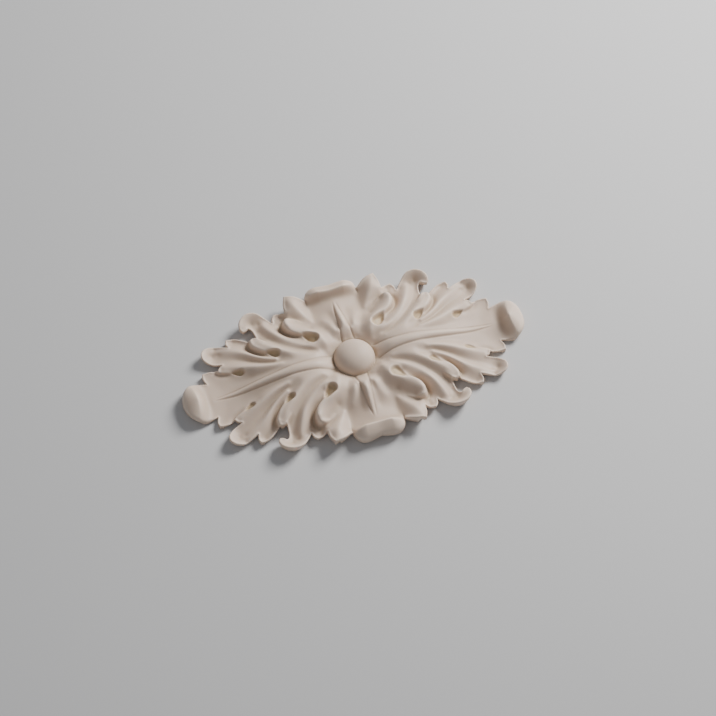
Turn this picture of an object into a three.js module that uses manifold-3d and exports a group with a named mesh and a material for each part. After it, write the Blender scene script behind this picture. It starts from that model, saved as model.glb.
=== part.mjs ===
// Ceiling rosette: one plaster casting, two long and two short acanthus leaves round a button.
// Millimetres, +Z up. The flat back lies on z = 0 and the origin is the middle of the back.
import * as THREE from 'three';
import { mergeVertices } from 'three/addons/utils/BufferGeometryUtils.js';
import Module from 'manifold-3d';

// Driving sizes, in millimetres
const LENGTH = 300;
const WIDTH = 155;
const LEAF_HEIGHT = 21.9;
const BUTTON_RADIUS = 17.3;
const BUTTON_TOP = 23;
const BUTTON_SEAT = 11.7;
const GROOVE_WIDTH = 2.2;
const GROOVE_DEPTH = 1.4;
const RIB_HEIGHT = 1.2;
const RIB_EDGE = 1.7;
const EYE_DEPTH = 4.6;
const THINNEST = 2.6;
const FINE_STEP = 2.1;
const PLAIN_STEP = 3.7;
const FINE_BAND = 8.4;
const BUTTON_SIDES = 44;
const BUTTON_RINGS = 6;

// How the button's dome falls to its edge: fuller than a sphere near the rim
const DOME_SPREAD = 2.2;
const DOME_FALL = 0.62;

// The carver's drawing is a squared sheet of one quarter of the rosette. Its squares count along the
// long leaf, along the short leaf, and up to the crown of the leaves.
const SHEET = { length: 178, width: 92, height: 26 };

// Leaf edge from the end of the long leaf round to the end of the short leaf.
// Each entry is one smooth stretch between two corners.
const LEAF_EDGE = {
  longCurl: [[178, 0], [176.8, 8], [173, 15.5], [167, 20.8], [160, 22.8], [148.4, 19.8]],
  lastPointSide: [[148.4, 19.8], [150.2, 25.6], [149.4, 31.2]],
  lastPointTop: [[149.4, 31.2], [141, 31.8], [133.4, 29.5]],
  firstEyeLobe: [[133.4, 29.5], [131.4, 32.6], [127.8, 34.4]],
  roundPoint: [
    [127.8, 34.4], [137, 37.8], [144, 44.6], [144.6, 51.6], [139.4, 56.8], [130, 57.6], [116.2, 52],
  ],
  secondPointSide: [[116.2, 52], [117.4, 56.8], [115.9, 61.4]],
  secondPointTop: [[115.9, 61.4], [106, 59.8], [93.6, 51]],
  secondEyeLobe: [[93.6, 51], [90.2, 52.4], [86.3, 51.2]],
  hookThroat: [[86.3, 51.2], [86.8, 59], [88.2, 64.2], [91, 66], [93.6, 64], [97, 63]],
  hook: [[97, 63], [99.5, 66.4], [99, 72.4], [94, 78], [86, 80.7], [76.6, 78], [65.5, 66.4]],
  thirdPointSide: [[65.5, 66.4], [64.6, 71], [61.6, 74.6]],
  thirdPointTop: [[61.6, 74.6], [56.2, 73.8], [51, 71.4]],
  fourthPointSide: [[51, 71.4], [50.2, 79.6], [47.2, 87.4]],
  fourthPointTop: [[47.2, 87.4], [36.6, 84.8], [27.5, 79.2]],
  shortCurl: [[27.5, 79.2], [25, 86.6], [19.6, 91.2], [12, 92], [0, 90]],
};
const POINTS_PER_SPAN = 3;

// The carving as named strokes along its crests and troughs: [along the long leaf, along the short
// leaf, height]. The leaves' surface runs smoothly through all of them.
const STROKES = {
  longBack: [
    [23, 0, 13.6], [30, 0, 18.4], [40, 0, 23.4], [55, 0, 25.4], [70, 0, 23.4], [85, 0, 19.4],
    [100, 0, 14.4], [120, 0, 7.2], [135, 0, 5], [148, 0, 5.4],
  ],
  longSide: [
    [24, 9.6, 15], [36, 9.6, 21.2], [50, 9, 23.8], [66, 8.4, 23], [82, 8.4, 18.8], [96, 9.4, 14.4],
    [108, 11.4, 10], [120, 13.4, 6.8], [133, 16, 4.6],
  ],
  firstCrest: [
    [64, 11.4, 22.8], [76, 12.6, 21], [88, 15.4, 19], [98, 18.8, 16.8], [108, 22.8, 14],
    [118, 26.6, 11], [127, 30, 8.6],
  ],
  firstEyeFoot: [
    [104, 15.4, 13], [112, 18.6, 10.6], [120, 21.8, 8.6], [128, 24.8, 7], [134, 26.8, 5.4],
  ],
  lastPoint: [[136, 10, 4], [139, 17, 3.8], [143, 24, 3.8], [147, 29, 4.6]],
  roundTrough: [
    [60, 13.6, 21.2], [70, 15, 19.2], [80, 17.6, 17], [90, 22.4, 14.2], [100, 28.8, 11.2],
    [110, 34.6, 9], [120, 39, 7], [131, 43, 4.6],
  ],
  roundCrest: [
    [66, 15.8, 21.4], [75, 18.6, 19.6], [84, 23.2, 17.4], [93, 29.6, 15.2], [102, 37.6, 12.8],
    [111, 44, 10.4], [121, 48.8, 8], [130, 51, 5.6],
  ],
  roundRim: [[136, 41, 5.4], [141.4, 44.6, 7.4], [142.4, 49.6, 9], [138.4, 54, 8], [130, 55.6, 5]],
  secondTrough: [
    [60, 17.2, 22], [72, 21, 18.2], [83, 27, 15], [92, 34.4, 12], [97.2, 42.6, 8.8], [100, 50, 7],
    [110, 57.6, 5],
  ],
  secondCrest: [
    [36, 12.4, 21.2], [50, 16, 22.8], [60, 20.4, 22.6], [68, 26.4, 21.4], [76, 33.4, 19.6],
    [84, 41, 17.4], [89.6, 48, 14],
  ],
  secondLobeSide: [[80, 29, 17], [86, 33.4, 15.8], [90.6, 39.2, 14.4], [94, 46.4, 12.4]],
  hookTrough: [
    [32, 15.6, 19.6], [48, 21.6, 19.4], [60, 29.4, 18], [70, 39.4, 15], [78, 50.4, 10.8],
    [83, 61, 6.8],
  ],
  hookCrest: [
    [24, 14, 17.4], [38, 20.8, 21.4], [50, 28.6, 20], [59, 37, 18.4], [67, 47, 16.6],
    [72.6, 57, 13], [76, 66, 9.6],
  ],
  hookBowl: [[80, 69, 8], [86, 70.6, 8.4]],
  hookRim: [
    [68, 67, 7], [73, 74, 9], [79, 77.8, 12], [86, 79, 13.4], [93, 76.4, 13.4], [97, 69.6, 12],
  ],
  thirdTrough: [
    [40, 30, 18.2], [48.6, 37.6, 17], [55.4, 44.4, 14.2], [58.8, 52, 10.8], [59.4, 60, 8.4],
    [60, 70, 7],
  ],
  thirdPoint: [[55.6, 65.6, 8.4], [56, 71, 7]],
  thirdCrest: [
    [19, 16, 16.4], [24, 21, 21.6], [25.6, 28, 23], [29, 34, 22.4], [36, 39, 21.4], [44, 43, 20],
    [51, 48, 19], [55, 54.6, 17.6], [53.2, 61, 15.6],
  ],
  thirdLobe: [[31, 46, 14.4], [38, 52.6, 14.2], [45, 59, 14]],
  thirdLobeFoot: [[29, 51.4, 11.4], [35, 58.6, 11.8], [42, 63.4, 12.6], [48, 66, 12.6]],
  fourthTrough: [
    [13, 22, 16.4], [16.4, 32, 18.4], [20, 40, 16], [24, 48, 12.4], [25, 57, 9.6], [25, 66, 8.4],
    [27, 76, 9.6],
  ],
  fourthCrest: [[28, 54, 11.4], [32, 60, 12], [37, 67, 14.4], [41, 75, 16.8], [45, 84, 16.4]],
  fourthSide: [[48, 71, 13.8], [48.8, 80, 14]],
  shortCrest: [[9, 23, 15], [10, 33, 20.2], [12.6, 43, 17.6], [17, 50, 14]],
  shortTrough: [[6.6, 31, 20], [8, 44, 17], [9, 56, 12], [10, 66, 10.8]],
  shortBack: [[0, 23, 13.8], [0, 31, 19], [0, 40, 21.2], [0, 50, 17.6], [0, 60, 13.4], [0, 70, 12]],
  shortCurlFoot: [[12, 72, 10.6], [20, 70, 9]],
};
const STROKE_SPACING = 2.4;
const NEAREST_PAIR = 1.2;
const HAT_WIDTH = 1.8;
const SLACK = 0.35;

// Rolled leaf ends: the leaf scoops up from the foot to a lip, which leans out to both sides, and beyond
// it a dome falls to the leaf edge. The dome is full over a half width and dips a little on the midrib.
const LONG_CURL = {
  foot: 151,
  lip: 161.5,
  lean: 0.22,
  side: 60,
  fullHalf: 0,
  reach: 18,
  sideReach: 27,
  low: 5.4,
  rise: 11.6,
  dip: 0,
};
const SHORT_CURL = {
  foot: 68,
  lip: 85,
  lean: 0,
  side: 27,
  fullHalf: 13,
  reach: 9,
  sideReach: 17,
  low: 7,
  rise: 10,
  dip: 2,
};
const DIP_HALF = 8;
const SIDE_SLOPE = 1.6;
const ROLL_FULLNESS = 2.4;

// Drilled eyes between the lobes: the middle, half length, half width, heading in degrees and share of
// the depth.
const EYES = [
  { x: 113.4, y: 19.4, long: 6, wide: 2.8, heading: 26, share: 0.55 },
  { x: 74.4, y: 26, long: 6.6, wide: 3.3, heading: 36, share: 0.7 },
  { x: 33.4, y: 30.6, long: 7.6, wide: 4.6, heading: 46, share: 1 },
];

// Midribs: half widths at places along the leaf.
const LONG_RIB = [[20, 8.4], [30, 7], [42, 5.9], [60, 5.1], [100, 3.9], [125, 2.6], [149, 0.5]];
const SHORT_RIB = [[18, 6.8], [30, 5.4], [45, 4.1], [58, 2.8], [71, 1]];
const RIB_ENDS = { start: 4, end: 12 };

const MM = { x: LENGTH / 2 / SHEET.length, y: WIDTH / 2 / SHEET.width, z: LEAF_HEIGHT / SHEET.height };
const { degToRad, lerp, smoothstep } = THREE.MathUtils;

/** Points along a stroke, about evenly spaced, ends included. */
function strokePoints(stroke) {
  const marks = stroke.map((mark) => new THREE.Vector3(...mark));
  const curve = new THREE.CatmullRomCurve3(marks, false, 'catmullrom');
  const spans = stroke.length - 1;
  const points = [];
  for (let i = 0; i < spans; i += 1) {
    const [startX, startY] = stroke[i];
    const [endX, endY] = stroke[i + 1];
    const count = Math.max(1, Math.round(Math.hypot(endX - startX, endY - startY) / STROKE_SPACING));
    for (let k = 0; k < count; k += 1) {
      points.push(curve.getPoint((i + k / count) / spans));
    }
  }
  points.push(curve.getPoint(1));
  return points;
}

/** Points of all strokes, without near doubles. */
function allStrokePoints() {
  const kept = [];
  for (const point of Object.values(STROKES).flatMap(strokePoints)) {
    if (kept.every((other) => Math.hypot(point.x - other.x, point.y - other.y) > NEAREST_PAIR)) {
      kept.push(point);
    }
  }
  return kept;
}

/** Height at a place of the hat over a stroke point and over its three mirror images. */
function hat(point, x, y) {
  let sum = 0;
  for (const gapX of [x - point.x, x + point.x]) {
    for (const gapY of [y - point.y, y + point.y]) {
      sum += Math.sqrt(gapX ** 2 + gapY ** 2 + HAT_WIDTH ** 2);
    }
  }
  return sum;
}

/** Solve a square system, each row ending in its right-hand side, by elimination. */
function solve(rows) {
  const size = rows.length;
  for (let column = 0; column < size; column += 1) {
    let pivot = column;
    for (let i = column + 1; i < size; i += 1) {
      if (Math.abs(rows[i][column]) > Math.abs(rows[pivot][column])) {
        pivot = i;
      }
    }
    [rows[column], rows[pivot]] = [rows[pivot], rows[column]];
    for (let i = column + 1; i < size; i += 1) {
      const share = rows[i][column] / rows[column][column];
      for (let k = column; k <= size; k += 1) {
        rows[i][k] -= share * rows[column][k];
      }
    }
  }
  const answer = new Float64Array(size);
  for (let i = size - 1; i >= 0; i -= 1) {
    let rest = rows[i][size];
    for (let k = i + 1; k < size; k += 1) {
      rest -= rows[i][k] * answer[k];
    }
    answer[i] = rest / rows[i][i];
  }
  return answer;
}

/** Weigh the hats so that their sum meets the strokes. The last weight is a plain height. */
function weighHats(points) {
  const rows = points.map((point, i) => {
    const row = Float64Array.from([...points.map((other) => hat(other, point.x, point.y)), 1, point.z]);
    row[i] -= SLACK;
    return row;
  });
  rows.push(Float64Array.from([...points.map(() => 1), 0, 0]));
  return solve(rows);
}

const STROKE_POINTS = allStrokePoints();
const HAT_WEIGHTS = weighHats(STROKE_POINTS);

/** Height of the leaves through their crests and troughs, in squares of the sheet. */
function carvedHeight(x, y) {
  let sum = HAT_WEIGHTS.at(-1);
  STROKE_POINTS.forEach((point, i) => {
    sum += HAT_WEIGHTS[i] * hat(point, x, y);
  });
  return sum;
}

/** Share of a midrib's height at a point, from its place along the leaf and its distance off the axis. */
function ribShare(rib, along, off) {
  const next = rib.findIndex(([place]) => place > along);
  if (next < 1) {
    return 0;
  }
  const [place, half] = rib[next - 1];
  const [nextPlace, nextHalf] = rib[next];
  const edge = lerp(half, nextHalf, (along - place) / (nextPlace - place));
  const start = rib[0][0];
  const end = rib.at(-1)[0];
  const grown = smoothstep(along, start, start + RIB_ENDS.start);
  const gone = smoothstep(along, end - RIB_ENDS.end, end);
  return grown * (1 - gone) * (1 - smoothstep(off, edge - RIB_EDGE / MM.y, edge));
}

/** Share of an eye's depth at a point: an oval pit with its long side along the heading. */
function eyeShare(eye, x, y) {
  const turn = degToRad(eye.heading);
  const along = (x - eye.x) * Math.cos(turn) + (y - eye.y) * Math.sin(turn);
  const across = (y - eye.y) * Math.cos(turn) - (x - eye.x) * Math.sin(turn);
  return 1 - smoothstep(Math.hypot(along / eye.long, across / eye.wide), 0.25, 1);
}

/** Height of a leaf with its rolled end on it, from its height alone, in squares of the sheet. */
function withCurl(curl, leaf, along, off) {
  const lip = curl.lip + curl.lean * off;
  const past = Math.max(0, along - lip) / curl.reach;
  const beside = Math.max(0, off - curl.fullHalf) / curl.sideReach;
  const fall = Math.min(1, Math.hypot(past, beside));
  const rise = curl.rise - curl.dip * Math.exp(-((off / DIP_HALF) ** 2));
  const dome = curl.low + rise * Math.sqrt(1 - fall ** ROLL_FULLNESS);
  const inside = 1 - smoothstep(off, curl.side - SIDE_SLOPE, curl.side + SIDE_SLOPE);
  return lerp(leaf, dome, smoothstep(along, curl.foot, lip) * inside);
}

/** Height of the button's dome above the back, in millimetres. */
function domeHeight(radius) {
  const share = (1 - (radius / BUTTON_RADIUS) ** DOME_SPREAD) ** DOME_FALL;
  return lerp(BUTTON_SEAT, BUTTON_TOP, share);
}

/** Height of the leaves' face at a place given in millimetres. The button stands in its seat on it. */
function faceHeight(placeX, placeY) {
  const radius = Math.hypot(placeX, placeY);
  if (radius < BUTTON_RADIUS) {
    return BUTTON_SEAT;
  }
  const x = Math.abs(placeX) / MM.x;
  const y = Math.abs(placeY) / MM.y;
  const leaf = withCurl(SHORT_CURL, carvedHeight(x, y), y, x);
  let height = withCurl(LONG_CURL, leaf, x, y) * MM.z;
  height += RIB_HEIGHT * (ribShare(LONG_RIB, x, y) + ribShare(SHORT_RIB, y, x));
  for (const eye of EYES) {
    height -= EYE_DEPTH * eye.share * eyeShare(eye, x, y);
  }
  height -= GROOVE_DEPTH * (1 - smoothstep(radius, BUTTON_RADIUS, BUTTON_RADIUS + GROOVE_WIDTH));
  return Math.max(height, THINNEST);
}

/** Points along one smooth stretch of the leaf edge in millimetres, without its last point. */
function edgeStretch(points) {
  const curve = new THREE.SplineCurve(points.map(([x, y]) => new THREE.Vector2(x * MM.x, y * MM.y)));
  return curve.getPoints((points.length - 1) * POINTS_PER_SPAN).slice(0, -1);
}

/** The whole leaf edge, counter-clockwise, from the quarter and its mirror images. */
function leafEdge() {
  const quarter = Object.values(LEAF_EDGE).flatMap(edgeStretch);
  const [shortX, shortY] = LEAF_EDGE.shortCurl.at(-1);
  const shortEnd = new THREE.Vector2(shortX * MM.x, shortY * MM.y);
  const left = quarter.slice(1).reverse().map((p) => new THREE.Vector2(-p.x, p.y));
  const upper = [...quarter, shortEnd, ...left];
  const lower = upper.slice(1).reverse().map((p) => new THREE.Vector2(p.x, -p.y));
  return [...upper, new THREE.Vector2(-LENGTH / 2, 0), ...lower];
}

/** Grid lines to both sides of the middle: fine over the first stretch, plain after it. */
function gridLines(fineTo, end) {
  const fine = Math.round(fineTo / FINE_STEP);
  const plain = Math.ceil((end - fineTo) / PLAIN_STEP);
  const half = [];
  for (let i = 0; i <= fine; i += 1) {
    half.push(fineTo * i / fine);
  }
  for (let i = 1; i <= plain; i += 1) {
    half.push(fineTo + (end - fineTo) * i / plain);
  }
  return [...half.slice(1).reverse().map((v) => -v), ...half];
}

/** A closed block whose top is the carved face, a little larger than the rosette. */
function carvedBlock() {
  const margin = PLAIN_STEP;
  const xs = gridLines(FINE_BAND, LENGTH / 2 + margin);
  const ys = gridLines(FINE_BAND, WIDTH / 2 + margin);
  const points = [];
  for (const y of ys) {
    for (const x of xs) {
      points.push(x, y, faceHeight(x, y));
    }
  }
  const columns = xs.length;
  const rows = ys.length;
  const at = (i, j) => j * columns + i;
  const faces = [];
  for (let j = 0; j + 1 < rows; j += 1) {
    for (let i = 0; i + 1 < columns; i += 1) {
      const corners = [at(i, j), at(i + 1, j), at(i + 1, j + 1), at(i, j + 1)];
      const leansRight = (xs[i] + xs[i + 1]) * (ys[j] + ys[j + 1]) > 0;
      const [a, b, c, d] = leansRight ? corners : [...corners.slice(1), corners[0]];
      faces.push(a, b, c, a, c, d);
    }
  }
  const rim = [];
  for (let i = 0; i < columns - 1; i += 1) {
    rim.push(at(i, 0));
  }
  for (let j = 0; j < rows - 1; j += 1) {
    rim.push(at(columns - 1, j));
  }
  for (let i = columns - 1; i > 0; i -= 1) {
    rim.push(at(i, rows - 1));
  }
  for (let j = rows - 1; j > 0; j -= 1) {
    rim.push(at(0, j));
  }
  const firstFoot = points.length / 3;
  for (const corner of rim) {
    points.push(points[corner * 3], points[corner * 3 + 1], 0);
  }
  const middle = points.length / 3;
  points.push(0, 0, 0);
  rim.forEach((corner, i) => {
    const next = (i + 1) % rim.length;
    const foot = firstFoot + i;
    const nextFoot = firstFoot + next;
    faces.push(corner, foot, nextFoot, corner, nextFoot, rim[next], middle, nextFoot, foot);
  });
  const block = new THREE.BufferGeometry();
  block.setAttribute('position', new THREE.Float32BufferAttribute(points, 3));
  block.setIndex(faces);
  return block;
}

const wasm = await Module();
wasm.setup();

/** A closed mesh as a solid that can be cut. */
function toSolid(geometry) {
  const plain = geometry.clone();
  plain.deleteAttribute('normal');
  plain.deleteAttribute('uv');
  const welded = mergeVertices(plain);
  return new wasm.Manifold(new wasm.Mesh({
    numProp: 3,
    vertProperties: new Float32Array(welded.attributes.position.array),
    triVerts: new Uint32Array(welded.index.array),
  }));
}

/** The domed button, reaching down into the leaves under it. */
function button() {
  const foot = BUTTON_SEAT / 2;
  const profile = [new THREE.Vector2(0, foot), new THREE.Vector2(BUTTON_RADIUS, foot)];
  for (let i = 0; i < BUTTON_RINGS; i += 1) {
    const radius = BUTTON_RADIUS * Math.cos(i / BUTTON_RINGS * Math.PI / 2);
    profile.push(new THREE.Vector2(radius, domeHeight(radius)));
  }
  profile.push(new THREE.Vector2(0, BUTTON_TOP));
  return new THREE.LatheGeometry(profile, BUTTON_SIDES).rotateX(Math.PI / 2);
}

/** The casting: the carved block cut to the leaf edge, with the button on it. */
function rosetteGeometry() {
  const outline = new THREE.ExtrudeGeometry(new THREE.Shape(leafEdge()), {
    depth: BUTTON_TOP * 2,
    bevelEnabled: false,
  });
  const cut = toSolid(carvedBlock()).intersect(toSolid(outline)).add(toSolid(button())).getMesh();
  const geometry = new THREE.BufferGeometry();
  geometry.setAttribute('position', new THREE.Float32BufferAttribute(cut.vertProperties, 3));
  geometry.setIndex(Array.from(cut.triVerts));
  geometry.computeVertexNormals();
  return geometry;
}

const plaster = new THREE.MeshStandardMaterial({ color: 0xe9e2d8, roughness: 0.62, metalness: 0 });
plaster.name = 'cast plaster';

const rosette = new THREE.Mesh(rosetteGeometry(), plaster);
rosette.name = 'rosette';

const part = new THREE.Group();
part.name = 'ceiling_rosette';
part.add(rosette);

export default part;
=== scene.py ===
"""Ceiling rosette in cast plaster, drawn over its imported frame.

The rosette is one casting with four equal quarters, so one quarter is carved as a fine mesh and
mirrored. Lengths of the carving are squares of the carver's sheet until they are placed in metres.
"""

import logging
import math
from dataclasses import dataclass, field
from enum import Enum

import bpy
import numpy as np
from bpy.types import Material, Mesh, Node, NodeSocket, NodeTree, Object
from mathutils import Matrix, Vector
from mathutils.geometry import delaunay_2d_cdt

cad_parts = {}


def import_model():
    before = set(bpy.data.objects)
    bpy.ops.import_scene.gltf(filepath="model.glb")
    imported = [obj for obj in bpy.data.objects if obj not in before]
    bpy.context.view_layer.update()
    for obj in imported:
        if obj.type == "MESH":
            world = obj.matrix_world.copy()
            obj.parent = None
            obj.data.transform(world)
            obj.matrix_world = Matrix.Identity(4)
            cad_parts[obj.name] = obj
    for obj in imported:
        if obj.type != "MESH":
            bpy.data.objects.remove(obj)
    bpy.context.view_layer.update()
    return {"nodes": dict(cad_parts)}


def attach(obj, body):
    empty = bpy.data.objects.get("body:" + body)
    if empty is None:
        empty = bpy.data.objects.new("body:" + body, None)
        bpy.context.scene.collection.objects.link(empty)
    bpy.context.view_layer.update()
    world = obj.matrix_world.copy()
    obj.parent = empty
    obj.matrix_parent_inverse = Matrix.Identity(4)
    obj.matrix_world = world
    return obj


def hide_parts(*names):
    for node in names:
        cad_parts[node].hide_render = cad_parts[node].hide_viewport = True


Array = np.ndarray
Line = list[tuple[float, ...]]
Colour = tuple[float, float, float, float]
Span = tuple[float, float]

# The triangulation keeps the triangles inside the loop, and takes points this close as one.
INSIDE_ONLY = 1
SAME_POINT = 1e-5
# Lines that turn by less than this count as parallel.
PARALLEL = 1e-12
# Decimals of a metre to which mirrored points that are one point agree.
JOIN_DECIMALS = 7

LOG = logging.getLogger("rosette")

# The leaf edge of a quarter, from the end of the long leaf to the end of the short one.
LEAF_EDGE: dict[str, Line] = {
    "long curl": [(178, 0), (176.8, 8), (173, 15.5), (167, 20.8), (160, 22.8), (148.4, 19.8)],
    "last point side": [(148.4, 19.8), (150.2, 25.6), (149.4, 31.2)],
    "last point top": [(149.4, 31.2), (141, 31.8), (133.4, 29.5)],
    "first eye lobe": [(133.4, 29.5), (131.4, 32.6), (127.8, 34.4)],
    "round point": [
        (127.8, 34.4), (137, 37.8), (144, 44.6), (144.6, 51.6), (139.4, 56.8), (130, 57.6),
        (116.2, 52),
    ],
    "second point side": [(116.2, 52), (117.4, 56.8), (115.9, 61.4)],
    "second point top": [(115.9, 61.4), (106, 59.8), (93.6, 51)],
    "second eye lobe": [(93.6, 51), (90.2, 52.4), (86.3, 51.2)],
    "hook throat": [(86.3, 51.2), (86.8, 59), (88.2, 64.2), (91, 66), (93.6, 64), (97, 63)],
    "hook": [(97, 63), (99.5, 66.4), (99, 72.4), (94, 78), (86, 80.7), (76.6, 78), (65.5, 66.4)],
    "third point side": [(65.5, 66.4), (64.6, 71), (61.6, 74.6)],
    "third point top": [(61.6, 74.6), (56.2, 73.8), (51, 71.4)],
    "fourth point side": [(51, 71.4), (50.2, 79.6), (47.2, 87.4)],
    "fourth point top": [(47.2, 87.4), (36.6, 84.8), (27.5, 79.2)],
    "short curl": [(27.5, 79.2), (25, 86.6), (19.6, 91.2), (12, 92), (0, 90)],
}

# The crests and troughs of a quarter, from its middle outwards. The last number is the height.
STROKES: dict[str, Line] = {
    "long back": [
        (23, 0, 13.6), (30, 0, 18.4), (40, 0, 22.8), (55, 0, 24.6), (70, 0, 22.9), (85, 0, 19.4),
        (100, 0, 14.4), (120, 0, 7.2), (135, 0, 4.6), (148, 0, 4.6),
    ],
    "long side": [
        (24, 9.6, 15), (36, 9.6, 21.2), (50, 9, 23.8), (66, 8.4, 23), (82, 8.4, 18.8),
        (96, 9.4, 14.4), (108, 11.4, 10), (120, 13.4, 6.8), (133, 16, 4.6),
    ],
    "first crest": [
        (72, 12.2, 21.4), (80, 13.4, 20.4), (88, 15.4, 19), (98, 18.8, 16.8), (108, 22.8, 14),
        (118, 26.6, 11), (127, 30, 8.6),
    ],
    "first eye foot": [
        (104, 15.4, 13), (112, 18.6, 10.6), (120, 21.8, 8.6), (128, 24.8, 7), (134, 26.8, 5.4),
    ],
    "last point": [(136, 10, 4), (139, 17, 3.8), (143, 24, 3.8), (147, 29, 4.6)],
    "round trough": [
        (62, 12.8, 22.2), (70, 14.8, 19.6), (80, 17.6, 17), (90, 22.4, 14.2), (100, 28.8, 11.2),
        (110, 34.6, 9), (120, 39, 7), (131, 43, 4.6),
    ],
    "round crest": [
        (76, 19, 19.2), (84, 23.2, 17.4), (93, 29.6, 15.2), (102, 37.6, 12.8), (111, 44, 10.4),
        (121, 48.8, 8), (130, 51, 5.6),
    ],
    "round rim": [
        (136, 41, 5.4), (141.4, 44.6, 7.4), (142.4, 49.6, 9), (138.4, 54, 8), (130, 55.6, 5),
    ],
    "round bowl": [(128, 48.4, 5.2), (134.4, 48.2, 4)],
    "second trough": [
        (63, 17.4, 21.6), (72, 21, 18.4), (83, 27, 15), (92, 34.4, 12), (97.2, 42.6, 8.8),
        (100, 50, 7), (110, 57.6, 5),
    ],
    "second crest": [
        (36, 12.4, 21.2), (50, 16, 22.8), (60, 20.4, 22.6), (68, 26.4, 21.4), (76, 33.4, 19.6),
        (84, 41, 17.4), (89.6, 48, 14),
    ],
    "second lobe side": [(80, 29, 17), (86, 33.4, 15.8), (90.6, 39.2, 14.4), (94, 46.4, 12.4)],
    "hook trough": [
        (32, 15.6, 19.6), (48, 21.6, 19.4), (60, 29.4, 18), (70, 39.4, 15), (78, 50.4, 10.8),
        (83, 61, 6.8),
    ],
    "hook crest": [
        (24, 14, 17.4), (38, 20.8, 21.4), (50, 28.6, 20), (59, 37, 18.4), (67, 47, 16.6),
        (72.6, 57, 13), (76, 66, 9.6),
    ],
    "hook bowl": [(80, 69, 7), (86, 70.6, 7.2)],
    "hook rim": [
        (68, 67, 7), (73, 74, 9), (79, 77.8, 12), (86, 79, 13.4), (93, 76.4, 13.4), (97, 69.6, 12),
    ],
    "third trough": [
        (40, 30, 18.2), (48.6, 37.6, 17), (55.4, 44.4, 14.2), (58.8, 52, 10.8), (59.4, 60, 8.4),
        (60, 70, 7),
    ],
    "third point": [(55.6, 65.6, 8.4), (56, 71, 7)],
    "third crest": [
        (19, 16, 16.4), (24, 21, 21.6), (25.6, 28, 23), (29, 34, 22.4), (36, 39, 21.4),
        (44, 43, 20), (51, 48, 19), (55, 54.6, 17.6), (53.2, 61, 15.6),
    ],
    "third lobe": [(31, 46, 13.4), (38, 52.6, 12.7), (45, 59, 12.6)],
    "third lobe foot": [(29, 51.4, 11.4), (35, 58.6, 11.8), (42, 63.4, 12.6), (48, 66, 12.6)],
    "fourth trough": [
        (13, 22, 16.4), (16.4, 32, 18.4), (20, 40, 16), (24, 48, 12.4), (25, 57, 9.6),
        (25, 66, 8.4), (27, 76, 9.6),
    ],
    "fourth crest": [(28, 54, 11.4), (32, 60, 12), (37, 67, 14.4), (41, 75, 16.8), (45, 84, 16.4)],
    "fourth side": [(48, 71, 13.8), (48.8, 80, 14)],
    "short crest": [(9, 23, 15), (10, 33, 20.2), (12.6, 43, 17.6), (17, 50, 14)],
    "short trough": [(6.6, 31, 20), (8, 44, 17), (9, 56, 12), (10, 66, 10.8)],
    "short back": [
        (0, 23, 13.8), (0, 31, 19), (0, 40, 21.2), (0, 50, 17.6), (0, 60, 13.4), (0, 70, 12),
    ],
    "short curl foot": [(12, 72, 10.6), (20, 70, 9)],
}


class Quarter(Enum):
    """The four mirror images that make the whole rosette, as signs along X and Y."""

    RIGHT_BACK = (1, 1)
    LEFT_BACK = (-1, 1)
    LEFT_FRONT = (-1, -1)
    RIGHT_FRONT = (1, -1)

    @property
    def flips(self) -> bool:
        """True where the mirror image turns the faces over."""
        return self.value[0] * self.value[1] < 0


def smooth(value: Array, low: float, high: float) -> Array:
    """Rise smoothly from 0 at low to 1 at high.

    Args:
        value: Where the rise is read.
        low: The value at which it starts.
        high: The value at which it is complete.

    Returns:
        The share of the rise, from 0 to 1.
    """
    t = np.clip((value - low) / (high - low), 0.0, 1.0)
    return t * t * (3.0 - 2.0 * t)


def smooth_line(points: Line, spacing: float) -> Array:
    """Run a smooth curve through a few points.

    Args:
        points: The points, ends included. Each may have a height after its place.
        spacing: Distance between the curve's points on the sheet, about.

    Returns:
        Evenly spaced points on the curve, ends included.
    """
    fixed = np.array(points, float)
    padded = np.vstack([fixed[:1], fixed, fixed[-1:]])
    rows = []
    for before, start, end, after in zip(padded, padded[1:], padded[2:], padded[3:]):
        count = max(1, round(math.hypot(end[0] - start[0], end[1] - start[1]) / spacing))
        t = (np.arange(count) / count)[:, None]
        pull_start = (end - before) / 2
        pull_end = (after - start) / 2
        rows.append(
            (2 * start - 2 * end + pull_start + pull_end) * t**3
            + (-3 * start + 3 * end - 2 * pull_start - pull_end) * t**2
            + pull_start * t
            + start
        )
    return np.vstack([*rows, fixed[-1:]])


def fill_loop(plan: Array, count: int) -> tuple[Array, Array, list[list[int]]]:
    """Lay triangles between points inside a closed loop.

    Args:
        plan: The points. Those of the loop come first, in order.
        count: How many of them make the loop.

    Returns:
        The points laid, the triangles, and the points of the plan that each laid point stands for.
    """
    loop = [(i, (i + 1) % count) for i in range(count)]
    found = delaunay_2d_cdt([Vector(p) for p in plan.tolist()], loop, [], INSIDE_ONLY, SAME_POINT)
    return np.array([tuple(p) for p in found[0]]), np.array(found[2], int), found[3]


def direction(azimuth: float, elevation: float) -> Vector:
    """Point from the rosette to a place round it.

    Args:
        azimuth: Degrees round from the front, where the camera is near 0.
        elevation: Degrees above the floor.

    Returns:
        The direction, one metre long.
    """
    turn = math.radians(azimuth)
    lift = math.radians(elevation)
    level = math.cos(lift)
    return Vector((math.sin(turn) * level, -math.cos(turn) * level, math.sin(lift)))


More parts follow.
